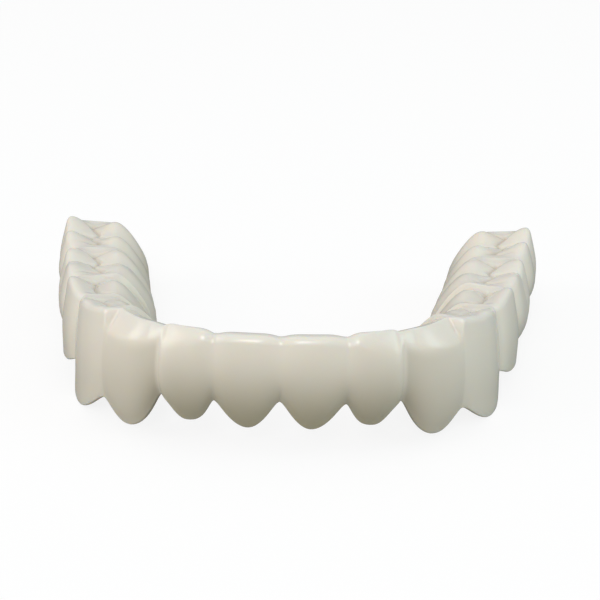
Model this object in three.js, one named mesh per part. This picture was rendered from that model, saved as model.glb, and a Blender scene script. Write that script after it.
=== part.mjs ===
import * as THREE from "three";
import { NURBSCurve } from "three/addons/curves/NURBSCurve.js";

// A clip-on lower tooth veneer: one thin moulded resin shell, a U-shaped row of fourteen tooth
// crowns that is hollow underneath and open at its two back ends.
// Sizes are in millimetres. The front teeth face -Y, the biting side is up, and the gum edges
// stand on z = 0. The origin is under the middle of the U.

// Plan of the outer wall. A point at the share u of the half width lies this far behind the
// front faces: ARCH_DEPTH * (ARCH_ROUNDNESS * u^2 + (1 - ARCH_ROUNDNESS) * u^ARCH_POWER).
const ARCH_HALF_WIDTH = 27.59;
const ARCH_DEPTH = 41.36;
const ARCH_ROUNDNESS = 0.18;
const ARCH_POWER = 4.33;

// The shell's walls.
const WALL = 1.1;
const GUM_EDGE = 0.5; // thickness of the outer wall's free edge
const FOOT_EDGE = 1.1; // thickness of the inner wall's free edge, which the back teeth stand on
const TONGUE_NECK = 0.4; // how far the inner wall draws in at its free edge
const FACE_BOW = 0.3; // share of a groove's depth that is the even bow of the face beside it
const TONGUE_GROOVE = 0.5; // depth of the grooves on the tongue side, as a share of the outer ones
const FOOT_SHARE = 0.6; // share of a tooth's half width over which its tongue-side edge is level
const NOTCH_ROUND = 0.85; // how full the gum edge's notches are
const FACET_RUN = 0.8; // how far a bevel runs in for each millimetre of its height

// Each table below has a row for each tooth of one side, from the middle to the back.

// The gum edge. gum: its lowest height. mesialWave and distalWave: its form to the front and to
// the back of that point, from 0, a parabola, to 1, a wave. zenith: where the lowest point is, from
// -1 at the tooth's front end to 1 at its back end. neck: how far the face draws in down there, or
// flares out where it is below 0.
const GUM_EDGES = table(
  ["gum", "mesialWave", "distalWave", "zenith", "neck"],
  [
    [2.85, 0.3, 0.35, -0.05, 0.4],
    [2.99, -0.4, 1.0, -0.06, 0.6],
    [1.02, -0.15, 0.4, 0.14, 0.6],
    [0.0, 0.3, -0.6, 0.27, -0.18],
    [1.75, 0.0, -0.5, 0.2, -0.05],
    [1.22, -0.1, -0.3, 0.14, 0.85],
    [1.67, 0.0, -0.3, 0.09, 0.9],
  ],
);

// The face. width: along the arch. lean: how far the rim stands in from the fullest part of the
// face. mesialTurn and distalTurn: how abruptly the face turns into the groove at its front and
// back end. softGroove: 1 where the groove has a round bottom, 0 where it is sharp.
const FACES = table(
  ["width", "lean", "mesialTurn", "distalTurn", "softGroove"],
  [
    [5.4, 0.9, 4, 5, 1],
    [4.95, 0.8, 3.5, 12, 1],
    [6.55, 0.8, 2.4, 4, 1],
    [8.15, 0.8, 4, 7, 1],
    [7.3, 1.0, 5, 5, 0],
    [9.7, 1.4, 6, 5, 0],
    [10.4, 1.4, 6, 6, 0],
  ],
);

// The biting edge. rim: its height. cusps: points on it, 0 for a straight cutting edge. bevel and
// bevelBack: height of the sloping band under the rim, at its front and back end. bevelFrom and
// bevelTo: where that band has its full height. crease: how round the band's edges are.
const RIMS = table(
  ["rim", "cusps", "bevel", "bevelBack", "bevelFrom", "bevelTo", "crease"],
  [
    [11.02, 0, 0.4, 0.4, -0.6, 0.6, 0.2],
    [11.22, 0, 0.75, 1.3, -0.2, 0.7, 0.45],
    [10.92, 0, 1.15, 1.85, -0.6, 0.8, 0.26],
    [10.27, 1, 0.4, 0.4, -0.8, 0.8, 0.22],
    [9.87, 1, 0.4, 0.4, -0.8, 0.8, 0.22],
    [8.96, 2, 0.5, 0.5, -0.8, 0.8, 0.25],
    [9.26, 2, 0.5, 0.5, -0.8, 0.8, 0.25],
  ],
);

// The body behind the face. depth: from face to tongue side at the neck. top: width of the biting
// surface. dip: how far its middle lies below the rim's saddles. room and roof: width and height of
// the hollow under it. tongueRim and tongueGum: heights of the tongue side's upper and lower edge.
const BODIES = table(
  ["depth", "top", "dip", "room", "roof", "tongueRim", "tongueGum"],
  [
    [6.4, 1.9, 0.1, 1.5, 7.45, 10.55, 4.5],
    [6.6, 2.0, 0.1, 1.6, 7.45, 10.55, 4.3],
    [7.6, 2.6, 0.1, 2.2, 7.3, 10.25, 3.3],
    [8.4, 4.0, 0.55, 3.6, 7.1, 9.6, 1.8],
    [9.0, 4.6, 0.6, 4.2, 6.8, 9.3, 0.9],
    [10.4, 5.6, 0.7, 5.4, 6.0, 8.65, 0.0],
    [10.4, 5.6, 0.7, 5.4, 5.9, 8.7, 0.0],
  ],
);
const TEETH = FACES.map((face, i) => ({ ...face, ...GUM_EDGES[i], ...RIMS[i], ...BODIES[i] }));

// A row for each gap between teeth, from the middle one to the back end.
// papilla: height of the gum edge's notch. groove: depth of the groove between the faces.
// saddle: height of the rim there. gapBevel: height of the sloping band under it.
// tonguePapilla: the notch on the tongue side.
const GAPS = table(
  ["papilla", "groove", "saddle", "gapBevel", "tonguePapilla"],
  [
    [5.24, 0.24, 10.76, 0.35, 5.5],
    [4.98, 0.26, 10.76, 0.45, 5.3],
    [4.66, 0.55, 10.86, 0.6, 4.5],
    [2.57, 0.12, 10.9, 0.25, 2.9],
    [2.88, 0.6, 9.36, 0.4, 1.9],
    [3.62, 0.65, 8.56, 0.5, 1.2],
    [2.83, 0.65, 8.24, 0.5, 1.1],
    [1.7, 0.5, 8.0, 0.5, 0.6],
  ],
);

// Fineness of the facets.
const STEPS_PER_TOOTH = 8;
const STEPS_PER_SECTION = 18;

const RESIN = { color: 0xd8d3c3, roughness: 0.3, metalness: 0 };

function table(columns, rows) {
  return rows.map((row) => Object.fromEntries(columns.map((column, k) => [column, row[k]])));
}

const { lerp, clamp, smoothstep } = THREE.MathUtils;

// The outer wall's plan line from the middle of the front to one back end.
class HalfArch extends THREE.Curve {
  constructor() {
    super();
    this.arcLengthDivisions = 2000;
  }

  getPoint(share, target = new THREE.Vector3()) {
    const bend = ARCH_ROUNDNESS * share ** 2 + (1 - ARCH_ROUNDNESS) * share ** ARCH_POWER;
    return target.set(share * ARCH_HALF_WIDTH, ARCH_DEPTH * bend, 0);
  }
}

// A size of tooth i that eases into its neighbour's size towards the end t of the tooth.
function eased(column, i, t) {
  const neighbour = TEETH[clamp(i + Math.sign(t), 0, TEETH.length - 1)];
  return lerp(TEETH[i][column], neighbour[column], 0.5 * t * t);
}

// A power of the reach from a tooth's middle to its end, which levels out at the end where the
// groove is soft.
function turnShare(reach, power, soft) {
  return reach ** power * (1 + 0.5 * power * soft * (1 - reach ** 2));
}

// Height of the gum edge at t.
function gumHeight(i, t) {
  const { gum, zenith, mesialWave, distalWave } = TEETH[i];
  const toFront = t < zenith;
  const off = Math.abs(t - zenith) / (toFront ? 1 + zenith : 1 - zenith);
  const wave = toFront ? mesialWave : distalWave;
  const rise = lerp(off ** 2, Math.sin(0.5 * Math.PI * off) ** 2, wave);
  const fullness = NOTCH_ROUND * (1 - wave) * off ** 6 * (1 - off ** 2);
  return lerp(gum, GAPS[toFront ? i : i + 1].papilla, rise + fullness);
}

// Height of the rim between its saddles, 0 at a saddle and 1 at a cusp or along a cutting edge.
function rimShare({ cusps, softGroove }, t) {
  if (cusps === 0) {
    return 1 - turnShare(Math.abs(t), 6, softGroove);
  }
  return 0.5 - 0.5 * Math.cos(cusps * Math.PI * (t + 1));
}

// Height of the sloping band under the rim at t.
function bevelHeight({ bevel, bevelBack, bevelFrom, bevelTo }, gap, t) {
  const full = lerp(bevel, bevelBack, smoothstep(0.5 + 0.6 * t, 0, 1));
  const share = smoothstep(t, -1, bevelFrom) * (1 - smoothstep(t, bevelTo, 1));
  return lerp(gap.gapBevel, full, share);
}

// A point part of the way from one guide point to another.
function between([inset, height], [otherInset, otherHeight], share) {
  return [lerp(inset, otherInset, share), lerp(height, otherHeight, share)];
}

// Guide points of the section through tooth i at t, from -1 at its front end to 1 at its back
// end. Each is the distance in from the outer plan line, and the height. They run from the
// outer gum edge over the biting surface to the tongue-side gum edge: once outside the shell and
// once inside its hollow.
function sectionGuides(i, t) {
  const tooth = TEETH[i];
  const gap = GAPS[t < 0 ? i : i + 1];
  const reach = Math.abs(t);
  const size = (column) => eased(column, i, t);

  const steep = turnShare(reach, t < 0 ? tooth.mesialTurn : tooth.distalTurn, tooth.softGroove);
  const groove = gap.groove * lerp(steep, turnShare(reach, 2, tooth.softGroove), FACE_BOW);
  const gum = gumHeight(i, t);
  const rim = lerp(gap.saddle, tooth.rim, rimShare(tooth, t));
  const bevel = bevelHeight(tooth, gap, t);
  const crown = rim - gum;
  const lean = size("lean");
  const neck = size("neck");
  const middle = lean + 0.5 * size("top");
  const saddle = lerp(GAPS[i].saddle, GAPS[i + 1].saddle, 0.5 + 0.5 * t);
  const valley = (tooth.cusps === 0 ? rim : saddle) - size("dip") * (1 - 0.8 * reach ** 4);

  const tongueLift = (Math.max(0, reach - FOOT_SHARE) / (1 - FOOT_SHARE)) ** 2;
  const tongueGum = lerp(tooth.tongueGum, gap.tonguePapilla, tongueLift);
  const tongueRim = size("tongueRim") - (tooth.rim - rim);
  const tongueCrown = tongueRim - tongueGum;
  const tongueTop = lean + size("top");
  const back = size("depth") - TONGUE_GROOVE * groove;

  // The bevel runs from a crease on the face up to the edge of the biting surface.
  const face = [groove + 0.3 * lean, gum + 0.62 * crown];
  const crease = [groove + 0.8 * lean, rim - bevel];
  const edge = [crease[0] + FACET_RUN * bevel, rim];
  const rounding = Math.min(size("crease"), 0.35 * bevel);
  const upBevel = rounding / (bevel * Math.hypot(FACET_RUN, 1));
  const downFace = rounding / Math.hypot(crease[0] - face[0], crease[1] - face[1]);
  const outside = [
    [neck + groove, gum],
    [0.35 * neck + groove, gum + 0.12 * crown],
    [groove, gum + 0.36 * crown],
    face,
    between(crease, face, 2.5 * downFace),
    between(crease, face, downFace),
    between(crease, edge, upBevel),
    between(edge, crease, upBevel),
    [lerp(edge[0], middle, 0.2), lerp(rim, valley, 0.08)],
    [lerp(edge[0], middle, 0.65), lerp(rim, valley, 0.6)],
    [middle, valley],
    [lerp(middle, tongueTop, 0.5), lerp(valley, tongueRim, 0.45)],
    [tongueTop, tongueRim],
    [lerp(tongueTop, back, 0.7), tongueGum + 0.6 * tongueCrown],
    [back, tongueGum + 0.3 * tongueCrown],
    [back - TONGUE_NECK, tongueGum],
  ];

  const roof = size("roof");
  const halfRoom = 0.5 * size("room");
  const roofMiddle = lerp(middle, 0.5 * size("depth"), 0.35) + 0.3 * groove;
  const inside = [
    [neck + groove + GUM_EDGE, gum],
    [0.35 * neck + groove + WALL, gum + 0.12 * crown],
    [groove + WALL, gum + 0.36 * crown],
    [lerp(groove + WALL, roofMiddle - halfRoom, 0.6), lerp(gum + 0.36 * crown, roof, 0.7)],
    [roofMiddle - halfRoom, roof],
    [roofMiddle - 0.5 * halfRoom, roof],
    [roofMiddle, roof],
    [roofMiddle + 0.5 * halfRoom, roof],
    [roofMiddle + halfRoom, roof],
    [back - WALL, lerp(tongueGum, roof, 0.5)],
    [back - TONGUE_NECK - FOOT_EDGE, tongueGum],
  ];
  return { outside, inside };
}

// Points along the smooth curve that a row of guide points pulls into shape.
function smoothed(guides) {
  const degree = 3;
  const spans = guides.length - degree;
  const knots = [0, 0, 0];
  for (let k = 0; k <= spans; k += 1) {
    knots.push(k / spans);
  }
  knots.push(1, 1, 1);
  const points = guides.map(([inset, height]) => new THREE.Vector2(inset, height));
  return new NURBSCurve(degree, knots, points).getPoints(STEPS_PER_SECTION);
}

// The closed section loop of the shell at each station of one side, from the middle to the back.
function halfStations() {
  const arch = new HalfArch();
  const rowLength = TEETH.reduce((sum, tooth) => sum + tooth.width, 0);
  const stations = [];
  let start = 0;
  TEETH.forEach((tooth, i) => {
    for (let k = i === 0 ? 0 : 1; k <= STEPS_PER_TOOTH; k += 1) {
      const t = (2 * k) / STEPS_PER_TOOTH - 1;
      const along = (start + 0.5 * (1 + t) * tooth.width) / rowLength;
      const place = arch.getPointAt(along);
      const ahead = arch.getTangentAt(along);
      const inward = new THREE.Vector3(-ahead.y, ahead.x, 0);
      const { outside, inside } = sectionGuides(i, t);
      const loop = [...smoothed(outside), ...smoothed(inside).reverse()];
      stations.push(loop.map(({ x: inset, y: height }) => {
        const point = place.clone().addScaledVector(inward, inset);
        return point.setZ(height);
      }));
    }
    start += tooth.width;
  });
  return stations;
}

// The whole shell: the section loops of both sides joined in turn, with a flat end at each back.
function shellGeometry() {
  const right = halfStations();
  const mirrored = right.slice(1).map((loop) => loop.map(({ x, y, z }) => new THREE.Vector3(-x, y, z)));
  const stations = [...mirrored.reverse(), ...right];
  const around = stations[0].length;
  const last = (stations.length - 1) * around;
  const faces = [];
  const quad = (a, b, c, d) => faces.push(a, b, c, a, c, d);

  for (let s = 0; s < stations.length - 1; s += 1) {
    for (let k = 0; k < around; k += 1) {
      const next = (k + 1) % around;
      const here = s * around;
      quad(here + k, here + around + k, here + around + next, here + next);
    }
  }
  for (let k = 0; k < STEPS_PER_SECTION; k += 1) {
    const across = around - 1 - k;
    quad(k, k + 1, across - 1, across);
    quad(last + k, last + across, last + across - 1, last + k + 1);
  }

  const geometry = new THREE.BufferGeometry();
  geometry.setFromPoints(stations.flat());
  geometry.setIndex(faces);
  geometry.computeVertexNormals();
  return geometry;
}

const veneer = new THREE.Group();
const shell = new THREE.Mesh(shellGeometry(), new THREE.MeshStandardMaterial(RESIN));
shell.name = "veneer_shell";
shell.geometry.computeBoundingBox();
shell.position.y = -shell.geometry.boundingBox.getCenter(new THREE.Vector3()).y;
veneer.add(shell);

export default veneer;
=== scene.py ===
import math

import bpy
import numpy as np
from mathutils import Matrix, Vector


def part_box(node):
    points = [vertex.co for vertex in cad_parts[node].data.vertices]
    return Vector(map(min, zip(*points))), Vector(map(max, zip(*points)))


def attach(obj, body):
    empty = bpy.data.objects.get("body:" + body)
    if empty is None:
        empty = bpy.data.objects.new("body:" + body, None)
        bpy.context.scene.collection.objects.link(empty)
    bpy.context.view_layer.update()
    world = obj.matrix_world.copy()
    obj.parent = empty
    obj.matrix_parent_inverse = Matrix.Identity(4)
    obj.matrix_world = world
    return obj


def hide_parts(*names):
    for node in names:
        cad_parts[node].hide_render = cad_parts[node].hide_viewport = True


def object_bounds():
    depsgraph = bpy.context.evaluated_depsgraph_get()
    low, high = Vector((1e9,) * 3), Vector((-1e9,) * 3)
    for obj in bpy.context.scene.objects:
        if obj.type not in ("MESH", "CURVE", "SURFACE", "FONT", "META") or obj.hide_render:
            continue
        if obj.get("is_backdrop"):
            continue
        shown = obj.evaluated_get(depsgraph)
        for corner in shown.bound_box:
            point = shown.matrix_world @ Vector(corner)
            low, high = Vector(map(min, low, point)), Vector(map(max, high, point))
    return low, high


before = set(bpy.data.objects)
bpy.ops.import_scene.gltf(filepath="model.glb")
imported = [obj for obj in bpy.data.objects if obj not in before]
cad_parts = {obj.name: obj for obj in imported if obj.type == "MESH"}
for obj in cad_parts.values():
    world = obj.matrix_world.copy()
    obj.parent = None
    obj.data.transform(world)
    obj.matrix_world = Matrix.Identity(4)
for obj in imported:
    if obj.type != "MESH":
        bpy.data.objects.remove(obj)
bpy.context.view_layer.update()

mm = 0.001  # the sizes below are in millimetres
print("frame loaded, nodes:", ", ".join(sorted(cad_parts)))


# Veneer shell: a section of the tooth row carried along the arch

shell = {
    "halfWidth": 27.53,  # middle to the outer wall at the back ends
    "depth": 41.36,  # front faces to the back ends
    "roundness": 0.18,  # share of the square term in the arch's bend
    "archPower": 4.33,  # power of the other term
    "archSteps": 4001,  # points along which the arch is measured out
    "wall": 1.1,
    "gumEdge": 0.5,  # thickness of the outer free edge
    "footEdge": 1.1,  # thickness of the tongue-side free edge
    "tongueNeck": 0.4,  # how far the tongue side draws in at its free edge
    "neckUp": 0.12,  # share of the crown over which its neck opens out
    "neckKept": 0.35,  # share of the neck's draw-in that is left there
    "bulgeUp": 0.36,  # share of the crown at which its face stands out furthest
    "shoulderUp": 0.62,  # share of the crown at which its face turns in
    "shoulderLean": 0.3,  # share of the lean that the face has there
    "creaseLean": 0.8,  # share of the lean that it has at the bevel
    "faceBow": 0.3,  # share of a groove's depth that is the even bow of the face
    "tongueGroove": 0.5,  # tongue-side grooves, as a share of the outer ones
    "footShare": 0.6,  # share of a tooth over which its tongue-side edge is level
    "notchRound": 0.85,  # how full the notches of the gum edge are
    "lipDrop": 0.15,  # height of the rounding along a free edge
    "facetRun": 0.8,  # how far a bevel runs in for each millimetre of its height
    "endRound": 0.35,  # length of the rounding at the back ends
    "endKeep": 0.45,  # share of the wall that is left at the very end
    "fissure": 0.34,  # depth of the lines cut in the biting surface
    "fissureWidth": 0.26,
    "longCut": 0.85,  # depth of the long line, the branches and the cross line, as shares
    "branchCut": 0.65,
    "crossCut": 0.75,
    "branchSlant": 0.55,  # how far the branches and the cross line run along for each step aside
    "crossSlant": 0.12,
    "branchReach": 0.8,  # where a branch ends, as a share of half the biting surface
    "pitSpread": 1.5,  # width of a pit, in widths of a line
    "pitRun": 0.5,  # length over which the long line ends at a pit
    "fissureWave": 0.1,  # how far the long one wanders, as a share of half the biting surface
    "pitAt": 0.58,  # where the long one ends in a pit, as a share of half the tooth
    "gapFocus": 0.12,  # how much closer the stations are at the gaps
    "stepsPerMm": 5.6,
    "stepsPerSection": 72,
    "topFocus": 0.35,  # how much closer the steps are over the biting surface
    "focusAt": 0.65,  # where along the section they are closest
    "lipSteps": 8,
    "shadeSharp": 10,  # how fast a tooth's painted shade ends at its gaps
    "shadeTop": 0.72,  # rise at which the painted shade starts to end, and the rise over which it does
    "shadeRun": 0.14,
    # one value per tooth of a side, from the middle to the back: heights are from the floor,
    # places across a tooth run from -1 at its front gap to 1 at its back gap
    "teeth": {
        "width": [5.4, 4.95, 6.55, 8.15, 7.3, 9.7, 10.4],
        "gum": [2.85, 2.99, 1.02, 0.0, 1.75, 1.22, 1.67],  # lowest point of the gum edge
        # flanks of that edge, front then back: 0 is a parabola, 1 a sine wave
        "gumMesial": [0.3, -0.4, -0.15, 0.3, 0.0, -0.1, 0.0],
        "gumDistal": [0.35, 1.0, 0.4, -0.6, -0.5, -0.3, -0.3],
        "zenith": [-0.05, -0.06, 0.14, 0.27, 0.2, 0.14, 0.09],  # where the lowest point is
        "neck": [0.4, 0.6, 0.6, -0.18, -0.05, 0.85, 0.9],  # how far the face draws in at the gum edge
        "rim": [11.02, 11.21, 10.92, 10.27, 9.87, 8.96, 9.26],  # height of the biting edge
        # height of the bevel under the rim, front then back, and where it starts and ends
        "bevel": [0.4, 0.75, 1.15, 0.4, 0.4, 0.5, 0.5],
        "bevelBack": [0.4, 1.3, 1.85, 0.4, 0.4, 0.5, 0.5],
        "bevelFrom": [-0.6, -0.2, -0.6, -0.8, -0.8, -0.8, -0.8],
        "bevelTo": [0.6, 0.7, 0.8, 0.8, 0.8, 0.8, 0.8],
        "crease": [0.2, 0.45, 0.26, 0.22, 0.22, 0.25, 0.25],  # how round the bevel's edges are
        "lean": [0.9, 0.8, 0.8, 0.8, 1.0, 1.4, 1.4],  # how far the face leans in at the rim
        "depth": [6.4, 6.6, 7.6, 8.4, 9.0, 10.4, 10.4],  # face to tongue side
        "top": [1.9, 2.0, 2.6, 4.0, 4.6, 5.6, 5.6],  # front to back size of the biting surface
        "dip": [0.1, 0.1, 0.1, 0.55, 0.6, 0.7, 0.7],  # how far its middle lies below the rim or the saddles
        "room": [1.5, 1.6, 2.2, 3.6, 4.2, 5.4, 5.4],  # front to back size of the hollow's roof
        "roof": [7.45, 7.45, 7.3, 7.1, 6.8, 6.0, 5.9],
        "tongueRim": [10.55, 10.55, 10.25, 9.6, 9.3, 8.65, 8.7],
        "tongueGum": [4.5, 4.3, 3.3, 1.8, 0.9, 0.0, 0.0],
        "cusps": [0, 0, 0, 1, 1, 2, 2],
        # power of the groove towards the front gap, then towards the back gap
        "mesial": [4, 3.5, 2.4, 4, 5, 6, 6],
        "distal": [5, 12, 4, 7, 5, 5, 6],
        "soft": [1, 1, 1, 1, 0, 0, 0],  # 1 rounds the grooves off at their bottom
        # painted shade all over a tooth, and more of it towards its front gap
        "shade": [0, 0, 0.1, 0, 0, 0, 0],
        "frontShade": [0, 0, 0.2, 0, 0, 0, 0],
        "gumShade": [0.97, 0.91, 0.34, 0.3, 0.22, 0.1, 0.45],  # painted shade towards the gum edge, partly the resin's own deeper tone there
    },
    # one value per gap between teeth, from the middle one to the back end
    "gaps": {
        "papilla": [5.24, 4.98, 4.66, 2.57, 2.88, 3.62, 2.83, 1.7],  # height of the gum edge's notch
        "groove": [0.24, 0.26, 0.55, 0.12, 0.6, 0.65, 0.65, 0.5],
        "saddle": [10.76, 10.76, 10.86, 10.9, 9.36, 8.56, 8.24, 8.0],  # height of the biting edge
        "bevel": [0.35, 0.45, 0.6, 0.25, 0.4, 0.5, 0.5, 0.5],
        "tonguePapilla": [5.5, 5.3, 4.5, 2.9, 1.9, 1.2, 1.1, 0.6],
    },
}
teeth = {column: np.array(row, float) for column, row in shell["teeth"].items()}
gaps = {column: np.array(row, float) for column, row in shell["gaps"].items()}


# Straight blend: a + (b - a) share
def lerp(a, b, share):
    return a + (b - a) * share


# Soft step: s^2 (3 - 2 s) of a share held between 0 and 1
def smoothStep(share):
    share = np.clip(share, 0, 1)
    return share * share * (3 - 2 * share)


# Arch line by share of its length: depth = D (r u^2 + (1 - r) u^p) at x = u W,
# measured out along the curve; returns the place, the way inward and the whole length
def archFrame(share):
    u = np.linspace(0, 1, shell["archSteps"])
    r = shell["roundness"]
    p = shell["archPower"]
    x = shell["halfWidth"] * u
    y = shell["depth"] * (r * u ** 2 + (1 - r) * u ** p)
    length = np.concatenate([[0], np.cumsum(np.hypot(np.diff(x), np.diff(y)))])
    at = np.interp(share * length[-1], length, u)
    slope = shell["depth"] * (2 * r * at + p * (1 - r) * at ** (p - 1)) / shell["halfWidth"]
    place = np.stack([np.interp(at, u, x), np.interp(at, u, y)], axis=1)
    inward = np.stack([-slope, np.ones_like(at)], axis=1) / np.hypot(1, slope)[:, None]
    return place, inward, length[-1]


# Stations: even cuts across each tooth, from t = -1 at its front gap to t = 1 at its back gap,
# drawn together a little at both gaps by t + focus sin(pi t)
def toothStations():
    steps = np.round(shell["stepsPerMm"] * teeth["width"]).astype(int)
    tooth = np.concatenate([[0], np.repeat(np.arange(len(steps)), steps)])
    t = np.concatenate([[-1.0], *[np.linspace(-1, 1, count + 1)[1:] for count in steps]])
    t = t + shell["gapFocus"] * np.sin(math.pi * t)
    start = np.concatenate([[0], np.cumsum(teeth["width"])[:-1]])
    along = start[tooth] + 0.5 * (1 + t) * teeth["width"][tooth]
    return tooth, t, along / teeth["width"].sum()


# A tooth's size eased into its neighbour's: half of the way there at the gap, by t^2
def eased(column, tooth, t):
    beside = np.clip(tooth + np.sign(t).astype(int), 0, len(teeth["width"]) - 1)
    return lerp(teeth[column][tooth], teeth[column][beside], 0.5 * t ** 2)


# Guide points of each section, as (distance in from the arch line, height):
# outside over the biting surface, and inside round the hollow
def sectionGuides(tooth, t):
    front = t < 0
    gap = np.where(front, tooth, tooth + 1)
    reach = np.abs(t)

    def size(column):
        return eased(column, tooth, t)

    # groove = depth (reach^p and an even bow reach^2), both rounded off at the bottom of a soft one
    def rounded(power):
        return reach ** power * (1 + 0.5 * power * teeth["soft"][tooth] * (1 - reach ** 2))

    steep = rounded(np.where(front, teeth["mesial"][tooth], teeth["distal"][tooth]))
    groove = gaps["groove"][gap] * lerp(steep, rounded(2), shell["faceBow"])

    # gum edge = lowest point + rise to the notch, between off^2 and a sine wave, with a round notch
    zenith = teeth["zenith"][tooth]
    off = np.abs(t - zenith) / np.where(t < zenith, 1 + zenith, 1 - zenith)
    wave = np.where(t < zenith, teeth["gumMesial"][tooth], teeth["gumDistal"][tooth])
    scallop = lerp(off ** 2, np.sin(0.5 * math.pi * off) ** 2, wave)
    scallop += shell["notchRound"] * (1 - wave) * off ** 6 * (1 - off ** 2)
    notch = gaps["papilla"][np.where(t < zenith, tooth, tooth + 1)]
    gum = lerp(teeth["gum"][tooth], notch, scallop)

    # rim = saddle + cusps as cosine waves, or a straight cutting edge
    cusps = teeth["cusps"][tooth]
    pointed = 0.5 - 0.5 * np.cos(cusps * math.pi * (t + 1))
    edge = np.where(cusps == 0, 1 - rounded(6), pointed)
    rim = lerp(gaps["saddle"][gap], teeth["rim"][tooth], edge)
    into = smoothStep((t + 1) / (teeth["bevelFrom"][tooth] + 1))
    outOf = smoothStep((1 - t) / (1 - teeth["bevelTo"][tooth]))
    bevel = lerp(teeth["bevel"][tooth], teeth["bevelBack"][tooth], smoothStep(0.5 + 0.6 * t))
    bevel = lerp(gaps["bevel"][gap], bevel, into * outOf)

    crown = rim - gum
    lean = size("lean")
    neck = size("neck")
    middle = lean + 0.5 * size("top")
    saddle = lerp(gaps["saddle"][tooth], gaps["saddle"][tooth + 1], 0.5 + 0.5 * t)
    valley = np.where(cusps == 0, rim, saddle) - size("dip") * (1 - 0.8 * reach ** 4)
    lift = (np.maximum(0, reach - shell["footShare"]) / (1 - shell["footShare"])) ** 2
    tongueGum = lerp(teeth["tongueGum"][tooth], gaps["tonguePapilla"][gap], lift)
    tongueRim = size("tongueRim") - (teeth["rim"][tooth] - rim)
    tongueCrown = tongueRim - tongueGum
    back = size("depth") - shell["tongueGroove"] * groove
    tongueTop = lean + size("top")

    # the bevel runs from a crease on the face up to the rim
    lip = shell["lipDrop"]
    neckIn, neckUp = shell["neckKept"] * neck + groove, gum + lip + shell["neckUp"] * crown
    bulgeUp = gum + shell["bulgeUp"] * crown
    faceIn, faceUp = groove + shell["shoulderLean"] * lean, gum + shell["shoulderUp"] * crown
    creaseIn, creaseUp = groove + shell["creaseLean"] * lean, rim - bevel
    rimIn = creaseIn + shell["facetRun"] * bevel
    near = np.minimum(size("crease"), 0.35 * bevel)
    upBevel = near / np.hypot(rimIn - creaseIn, bevel)
    downFace = near / np.hypot(creaseIn - faceIn, creaseUp - faceUp)
    outside = [
        (neck + groove, gum + lip),
        (neckIn, neckUp),
        (groove, bulgeUp),
        (faceIn, faceUp),
        (lerp(creaseIn, faceIn, 2.5 * downFace), lerp(creaseUp, faceUp, 2.5 * downFace)),
        (lerp(creaseIn, faceIn, downFace), lerp(creaseUp, faceUp, downFace)),
        (lerp(creaseIn, rimIn, upBevel), lerp(creaseUp, rim, upBevel)),
        (lerp(rimIn, creaseIn, upBevel), lerp(rim, creaseUp, upBevel)),
        (lerp(rimIn, middle, 0.2), lerp(rim, valley, 0.08)),
        (lerp(rimIn, middle, 0.65), lerp(rim, valley, 0.6)),
        (middle, valley),
        (lerp(middle, tongueTop, 0.5), lerp(valley, tongueRim, 0.45)),
        (tongueTop, tongueRim),
        (lerp(tongueTop, back, 0.7), tongueGum + 0.6 * tongueCrown),
        (back, tongueGum + 0.3 * tongueCrown),
        (back - shell["tongueNeck"], tongueGum + lip),
    ]
    wall = shell["wall"]
    roof = size("roof")
    halfRoom = 0.5 * size("room")
    roofMiddle = lerp(middle, 0.5 * size("depth"), 0.35) + 0.3 * groove
    roofFront = roofMiddle - halfRoom
    inside = [
        (neck + groove + shell["gumEdge"], gum + lip),
        (neckIn + wall, neckUp),
        (groove + wall, bulgeUp),
        (lerp(groove + wall, roofFront, 0.6), lerp(bulgeUp, roof, 0.7)),
        *[(roofMiddle + halfRoom * k, roof) for k in np.linspace(-1, 1, 5)],
        (back - wall, lerp(tongueGum, roof, 0.5)),
        (back - shell["tongueNeck"] - shell["footEdge"], tongueGum + lip),
    ]
    outside, inside = (np.stack([np.stack(np.broadcast_arrays(*point), axis=1) for point in row], axis=1)
                       for row in (outside, inside))
    return outside, inside, gum, rim


# Fissures of the biting surface, each a bell curve exp(-(d / width)^2) of the distance d from its
# line: a wandering one along the middle between two pits, branches from each pit to the corners,
# and on a two-cusped tooth one across
def fissures(tooth, t, outside):
    half, lean, roof = (eased(column, tooth, t)[:, None] for column in ("top", "lean", "roof"))
    half = 0.5 * half
    cusps, width = teeth["cusps"][tooth][:, None], teeth["width"][tooth][:, None]
    tooth, t = tooth[:, None], t[:, None]

    def bell(distance, spread=1.0):
        return np.exp(-(distance / (spread * shell["fissureWidth"])) ** 2)

    across = (outside[..., 0] - lean - half) / half
    onTop = smoothStep(3.0 - 2.4 * np.abs(across)) * (outside[..., 1] > roof)
    wander = np.sin(math.pi * (cusps + 1) * t) + 0.6 * np.sin(2.3 * math.pi * t + tooth)
    aside = (across - shell["fissureWave"] * wander) * half
    toPit = 0.5 * width * (np.abs(t) - shell["pitAt"])
    long = bell(aside) * (1 - smoothStep(toPit / shell["pitRun"]))
    branch = bell(toPit - shell["branchSlant"] * np.abs(aside))
    branch = branch * (1 - smoothStep(np.abs(aside) / (shell["branchReach"] * half)))
    cross = bell(0.5 * t * width + shell["crossSlant"] * aside)
    lines = [
        shell["longCut"] * long,
        shell["branchCut"] * branch,
        bell(np.hypot(aside, toPit), shell["pitSpread"]),
        np.where(cusps == 2, shell["crossCut"] * cross, 0),
    ]
    return shell["fissure"] * np.where(cusps > 0, np.max(lines, axis=0) * onTop, 0)


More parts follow.
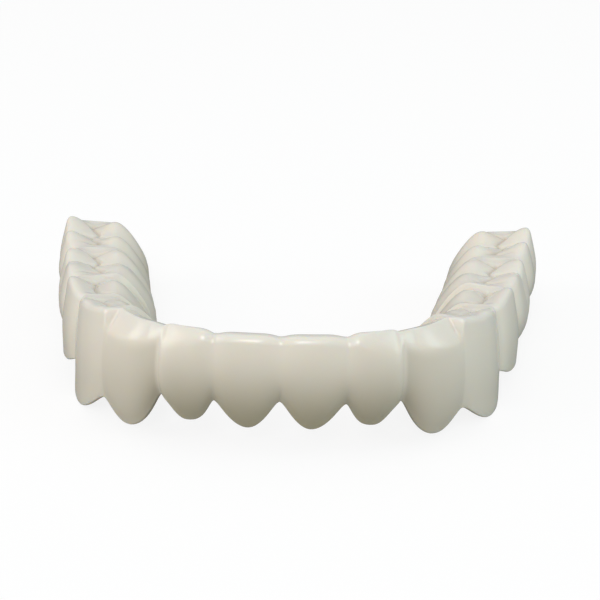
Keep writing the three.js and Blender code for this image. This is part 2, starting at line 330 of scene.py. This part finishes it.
# Cubic B-spline weights: each sample is a blend of four neighbouring guide points; the samples are
# drawn together around a place c by u = s - focus (sin(2 pi (s - c)) + sin(2 pi c)) / (2 pi)
def splineWeights(guides, samples, focus):
    knots = np.concatenate([np.zeros(3), np.linspace(0, 1, guides - 2), np.ones(3)])
    s = np.linspace(0, 1 - 1e-12, samples)[:, None]
    turn = 2 * math.pi
    c = shell["focusAt"]
    u = s - focus * (np.sin(turn * (s - c)) + math.sin(turn * c)) / turn
    weights = ((knots[:-1] <= u) & (u < knots[1:])).astype(float)
    for degree in (1, 2, 3):
        span = knots[degree:] - knots[:-degree]
        rise = np.where(span > 0, (u - knots[:-degree]) / np.where(span > 0, span, 1), 0)
        fall = np.where(span > 0, 1 - rise, 0)
        weights = weights[:, :-1] * rise[:, :-1] + weights[:, 1:] * fall[:, 1:]
    return weights


# Half an ellipse that joins two edge points below them, as a rounded lip
def edgeLip(first, second):
    count = int(shell["lipSteps"])
    angle = math.pi * (np.arange(count) + 0.5) / count
    points = lerp(first[:, None], second[:, None], (0.5 - 0.5 * np.cos(angle))[None, :, None])
    points[..., 1] -= shell["lipDrop"] * np.sin(angle)
    return points


# Shell surface: station by loop grid; the loop starts in the middle of the outer lip, so that
# point k faces point n - 1 - k across the wall
def shellSurface():
    tooth, t, share = toothStations()
    place, inward, archLength = archFrame(share)
    outGuides, inGuides, gum, rim = sectionGuides(tooth, t)
    samples = int(shell["stepsPerSection"])
    outWeights = splineWeights(outGuides.shape[1], samples, shell["topFocus"])
    inWeights = splineWeights(inGuides.shape[1], samples, 0)
    outside = np.einsum("vg,sgc->svc", outWeights, outGuides)
    inside = np.einsum("vg,sgc->svc", inWeights, inGuides)
    cut = fissures(tooth, t, outside)
    outside[..., 1] -= cut
    outerLip = edgeLip(inside[:, 0], outside[:, 0])
    innerLip = edgeLip(outside[:, -1], inside[:, -1])
    half = outerLip.shape[1] // 2
    loop = np.concatenate(
        [outerLip[:, half:], outside, innerLip, inside[:, ::-1], outerLip[:, :half]], axis=1)

    # the back end rounds off: the wall thins to a share of itself over the last stretch
    toEnd = np.clip((1 - share) * archLength / shell["endRound"], 0, 1)
    thin = 1 - (1 - shell["endKeep"]) * (1 - np.sqrt(1 - (1 - toEnd) ** 2))
    loop = lerp(0.5 * (loop + loop[:, ::-1]), loop, thin[:, None, None])

    inset, height = loop[..., 0], loop[..., 1]
    plan = place[:, None] + inward[:, None] * inset[..., None]
    points = np.concatenate([plan, height[..., None]], axis=2)

    # masks for the finish: rise from the gum edge to the rim, and thin: painted shade, partly the
    # resin's own deeper tone, that deepens towards the gum edge from the height above each tooth's
    # lowest point, so that the notches between teeth stay pale, with each tooth's painted shade added
    rise = np.clip((height - gum[:, None]) / (rim - gum)[:, None], 0, 1)
    tip = eased("gum", tooth, t)
    above = (height - tip[:, None]) / (rim - tip)[:, None]
    # painted shade on a tooth, all over it and more towards its front gap, ending at its gaps and under the
    # bevel
    paintedShade = teeth["shade"][tooth] + teeth["frontShade"][tooth] * (0.5 - 0.5 * t)
    paintedShade = paintedShade * smoothStep(shell["shadeSharp"] - shell["shadeSharp"] * np.abs(t))
    paintedShade = paintedShade[:, None] * (1 - smoothStep((rise - shell["shadeTop"]) / shell["shadeRun"]))
    masks = {
        "rise": rise,
        "thin": eased("gumShade", tooth, t)[:, None] * smoothStep(1 - above) + paintedShade,
        "cleft": np.zeros_like(rise),
        "hollow": np.zeros_like(rise),
    }
    # fissure depth, which the finish uses for painted shade in the fissures
    masks["cleft"][:, half:half + samples] = cut / shell["fissure"]
    masks["hollow"][:, 3 * half + samples:3 * half + 2 * samples] = 1
    mirrored = points[:0:-1] * (-1, 1, 1)
    masks = {name: np.concatenate([mask[:0:-1], mask]) for name, mask in masks.items()}
    return np.concatenate([mirrored, points]), masks


# Quads of a grid that is closed around its loop, with the two end loops filled across the wall
def shellFaces(stations, around):
    s, k = np.meshgrid(np.arange(stations - 1), np.arange(around), indexing="ij")
    after = (k + 1) % around
    sides = np.stack([s * around + k, (s + 1) * around + k,
                      (s + 1) * around + after, s * around + after], axis=-1).reshape(-1, 4)
    a = np.arange(around // 2 - 1)
    b = around - 1 - a
    first = np.stack([a, a + 1, b - 1, b], axis=1)
    last = (stations - 1) * around + first[:, ::-1]
    return np.concatenate([sides, first, last])


# Mesh of quads, filled as whole arrays: corner n of face f is loop 4 f + n
def meshPiece(name, points, faces):
    data = bpy.data.meshes.new(name)
    data.vertices.add(len(points))
    data.vertices.foreach_set("co", np.ascontiguousarray(points, np.float32).ravel())
    data.loops.add(faces.size)
    data.loops.foreach_set("vertex_index", faces.astype(np.int32).ravel())
    data.polygons.add(len(faces))
    data.polygons.foreach_set("loop_start", np.arange(0, faces.size, 4, dtype=np.int32))
    data.polygons.foreach_set("use_smooth", np.ones(len(faces), bool))
    data.update(calc_edges=True)
    piece = bpy.data.objects.new(name, data)
    bpy.context.scene.collection.objects.link(piece)
    return piece


# Shell in its place: the grid in metres, with the middle of its depth at the middle of the frame's
def buildShell():
    grid, masks = shellSurface()
    stations, around = grid.shape[:2]
    points = grid.reshape(-1, 3) * mm
    low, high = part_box("veneer_shell")
    points[:, 1] += 0.5 * (low.y + high.y) - 0.5 * (points[:, 1].min() + points[:, 1].max())
    piece = meshPiece("lower_veneer", points, shellFaces(stations, around))
    for name, mask in masks.items():
        piece.data.attributes.new(name, "FLOAT", "POINT").data.foreach_set("value", mask.ravel())
    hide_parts("veneer_shell")
    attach(piece, "root")
    print("shell built:", stations, "stations,", len(piece.data.polygons), "quads")
    return piece


veneer = buildShell()


# Ivory resin: polished outside and matt in the hollow, with a little light scattered inside it; its
# tone deepens towards the gum edge as painted shade, partly the resin's own deeper tone there, and
# pales towards the rim, whose cooler tone also holds painted shade on the lit bevel; the fissures
# hold painted shade

resin = {
    "faceTone": (0.875, 0.825, 0.725),
    # tone of the painted shade at the gum edge, partly the resin's own deeper tone there
    "gumShadeTone": (0.40, 0.367, 0.262),
    # the resin's cooler edge at the rim, a little darker as painted shade on the lit bevel
    "rimToneAndShade": (0.83, 0.80, 0.73),
    # tone of the painted shade in the fissures
    "fissureShadeTone": (0.62, 0.53, 0.38),
    "hollowTone": (0.78, 0.73, 0.61),
    "rimFrom": 0.8,  # rise at which the rim's cooler tone with painted shade starts
    "fissureShadeDepth": 0.35,  # share of the painted fissure shade in a fissure
    "cloudScale": 160.0,  # clouds in each metre
    "cloudDetail": 1.0,
    "cloudDepth": 0.03,
    "gloss": 0.225,  # roughness of the polished side
    "glossSpread": 0.04,
    "hollowGloss": 0.5,
    "rippleScale": 900.0,
    "rippleDetail": 2.0,
    "rippleHeight": 0.0015,  # millimetres
    "hollowRipple": 0.03,
    "bending": 1.5,  # how much the resin bends light
    "subsurface": 0.6,
    "scatter": (1.1, 0.8, 0.5),  # millimetres
}


# Base tone = face tone blended to the rim's (cool, with painted shade) by rise, to the gum edge's
# painted shade by thin, to the fissures' painted shade and the hollow's tone by their masks, times a
# faint cloud; roughness = the larger of gloss and hollow
def resinMaterial():
    material = bpy.data.materials.new("ivory_resin")
    material.use_nodes = True
    nodes = material.node_tree.nodes
    links = material.node_tree.links
    shader = nodes["Principled BSDF"]
    shader.inputs["IOR"].default_value = resin["bending"]
    shader.inputs["Subsurface Weight"].default_value = resin["subsurface"]
    shader.inputs["Subsurface Radius"].default_value = resin["scatter"]
    shader.inputs["Subsurface Scale"].default_value = mm
    place = nodes.new("ShaderNodeTexCoord")

    def attribute(name):
        node = nodes.new("ShaderNodeAttribute")
        node.attribute_name = name
        return node.outputs["Fac"]

    def spread(value, low, high, toLow, toHigh):  # stretch a value from one range to another
        node = nodes.new("ShaderNodeMapRange")
        limits = {"From Min": low, "From Max": high, "To Min": toLow, "To Max": toHigh}
        for name, number in limits.items():
            node.inputs[name].default_value = number
        links.new(value, node.inputs["Value"])
        return node.outputs["Result"]

    def noise(scale, detail):
        node = nodes.new("ShaderNodeTexNoise")
        node.inputs["Scale"].default_value = scale
        node.inputs["Detail"].default_value = detail
        links.new(place.outputs["Object"], node.inputs["Vector"])
        return node.outputs["Fac"]

    def blend(share, first, second):  # first and second are a colour or a socket
        node = nodes.new("ShaderNodeMix")
        node.data_type = "RGBA"
        links.new(share, node.inputs["Factor"])
        for name, colour in (("A", first), ("B", second)):
            if isinstance(colour, tuple):
                node.inputs[name].default_value = (*colour, 1)
            else:
                links.new(colour, node.inputs[name])
        return node.outputs["Result"]

    def math2(kind, first, second):
        node = nodes.new("ShaderNodeMath")
        node.operation = kind
        links.new(first, node.inputs[0])
        links.new(second, node.inputs[1])
        return node.outputs["Value"]

    hollow = attribute("hollow")
    clouds = noise(resin["cloudScale"], resin["cloudDetail"])
    # rim: the resin's cooler edge with painted shade on the lit bevel; gum edge: painted shade, partly the
    # resin's own deeper tone; fissures: painted shade
    rimShare = spread(attribute("rise"), resin["rimFrom"], 1.0, 0.0, 1.0)
    tone = blend(rimShare, resin["faceTone"], resin["rimToneAndShade"])
    tone = blend(attribute("thin"), tone, resin["gumShadeTone"])
    cleft = spread(attribute("cleft"), 0.0, 1.0, 0.0, resin["fissureShadeDepth"])
    tone = blend(cleft, tone, resin["fissureShadeTone"])
    tone = blend(hollow, tone, resin["hollowTone"])
    cloudy = spread(clouds, 0.0, 1.0, 1 - resin["cloudDepth"], 1 + resin["cloudDepth"])
    scale = nodes.new("ShaderNodeVectorMath")
    scale.operation = "SCALE"
    links.new(tone, scale.inputs[0])
    links.new(cloudy, scale.inputs["Scale"])
    links.new(scale.outputs["Vector"], shader.inputs["Base Color"])

    gloss = spread(clouds, 0.0, 1.0, resin["gloss"], resin["gloss"] + resin["glossSpread"])
    rough = math2("MAXIMUM", gloss, spread(hollow, 0.0, 1.0, 0.0, resin["hollowGloss"]))
    links.new(rough, shader.inputs["Roughness"])

    rippleHeight = spread(hollow, 0.0, 1.0, resin["rippleHeight"], resin["hollowRipple"])
    ripple = math2("MULTIPLY", noise(resin["rippleScale"], resin["rippleDetail"]), rippleHeight)
    bump = nodes.new("ShaderNodeBump")
    bump.inputs["Distance"].default_value = mm
    links.new(ripple, bump.inputs["Height"])
    links.new(bump.outputs["Normal"], shader.inputs["Normal"])
    return material


veneer.data.materials.append(resinMaterial())
print("resin finish done")


# Floor, light and camera

stage = {
    "floorSize": 4.0,  # metres
    "floorTone": (1.015, 1.015, 1.015, 1),
    "floorGlow": 0.84,  # share of the floor's white that no shadow darkens
    "floorBounce": (0.35, 0.35, 0.33, 1),  # its tone to the light that it throws back
    "floorRoughness": 0.9,
    "skyStrength": 0.53,
    "skySeen": 0.985,  # how bright it looks to the camera, beyond the floor
    "skyTone": (1, 1, 1, 1),
}

# soft lamps: place and size in metres, power in watts
lamps = {
    "frontLamp": {"place": (-0.1, -0.85, 0.55), "size": 0.35, "power": 2.75, "tone": (1, 1, 1)},
    "leftLamp": {"place": (-0.85, -0.25, 0.4), "size": 0.6, "power": 2.6, "tone": (1, 0.98, 0.95)},
    "rightLamp": {"place": (0.85, -0.15, 0.4), "size": 0.6, "power": 2.15, "tone": (0.74, 0.95, 1)},
}


# White floor: glows by its share where the camera sees it, and takes shadow with what is left
def buildFloor():
    half = stage["floorSize"] / 2
    corners = np.array([(-half, -half, 0), (half, -half, 0), (half, half, 0), (-half, half, 0)])
    floor = meshPiece("floor", corners, np.array([[0, 1, 2, 3]]))
    material = bpy.data.materials.new("pale_floor")
    material.use_nodes = True
    nodes = material.node_tree.nodes
    links = material.node_tree.links
    shader = nodes["Principled BSDF"]
    shader.inputs["Roughness"].default_value = stage["floorRoughness"]
    shader.inputs["Specular IOR Level"].default_value = 0.0
    shader.inputs["Emission Color"].default_value = stage["floorTone"]
    path = nodes.new("ShaderNodeLightPath")
    mix = nodes.new("ShaderNodeMix")
    mix.data_type = "RGBA"
    mix.inputs["A"].default_value = stage["floorBounce"]
    shaded = [(1 - stage["floorGlow"]) * tone for tone in stage["floorTone"][:3]]
    mix.inputs["B"].default_value = (*shaded, 1)
    glow = nodes.new("ShaderNodeMath")
    glow.operation = "MULTIPLY"
    glow.inputs[1].default_value = stage["floorGlow"]
    links.new(path.outputs["Is Camera Ray"], mix.inputs["Factor"])
    links.new(path.outputs["Is Camera Ray"], glow.inputs[0])
    links.new(mix.outputs["Result"], shader.inputs["Base Color"])
    links.new(glow.outputs["Value"], shader.inputs["Emission Strength"])
    floor.data.materials.append(material)
    floor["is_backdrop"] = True


# Even sky, and round lamps that all point at the origin
def buildLights():
    world = bpy.data.worlds.new("studio")
    world.use_nodes = True
    nodes = world.node_tree.nodes
    links = world.node_tree.links
    sky = nodes["Background"]
    sky.inputs["Color"].default_value = stage["skyTone"]
    path = nodes.new("ShaderNodeLightPath")
    strength = nodes.new("ShaderNodeMapRange")
    strength.inputs["To Min"].default_value = stage["skyStrength"]
    strength.inputs["To Max"].default_value = stage["skySeen"]
    links.new(path.outputs["Is Camera Ray"], strength.inputs["Value"])
    links.new(strength.outputs["Result"], sky.inputs["Strength"])
    bpy.context.scene.world = world
    for name, lamp in lamps.items():
        data = bpy.data.lights.new(name, "AREA")
        data.shape = "DISK"
        data.size = lamp["size"]
        data.energy = lamp["power"]
        data.color = lamp["tone"]
        light = bpy.data.objects.new(name, data)
        light.location = lamp["place"]
        light.rotation_euler = (-light.location).to_track_quat("-Z", "Y").to_euler()
        bpy.context.scene.collection.objects.link(light)


# Camera place and aim are measured from the floor under the middle of the front teeth
camera = {
    "place": (4.32, -90.46, 49.17),
    "aim": (0.98, 20.0, 7.0),
    "roll": 0.93,  # degrees
    "focalPixels": 1209,
    "imagePixels": 600,
    "sensor": 36,  # millimetres
    "nearest": 0.005,  # metres
}


# Lens = sensor times focal length in pixels over the image's width in pixels
def buildCamera():
    front = Vector((0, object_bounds()[0][1], 0))
    place = front + Vector(camera["place"]) * mm
    aim = front + Vector(camera["aim"]) * mm
    data = bpy.data.cameras.new("camera")
    data.sensor_width = camera["sensor"]
    data.lens = data.sensor_width * camera["focalPixels"] / camera["imagePixels"]
    data.clip_start = camera["nearest"]
    view = bpy.data.objects.new("camera", data)
    turn = (aim - place).to_track_quat("-Z", "Y").to_matrix().to_4x4()
    roll = Matrix.Rotation(math.radians(camera["roll"]), 4, "Z")
    view.matrix_world = Matrix.Translation(place) @ turn @ roll
    bpy.context.scene.collection.objects.link(view)
    bpy.context.scene.camera = view


buildFloor()
buildLights()
buildCamera()
bpy.context.scene.view_settings.view_transform = "Standard"
print("stage done")
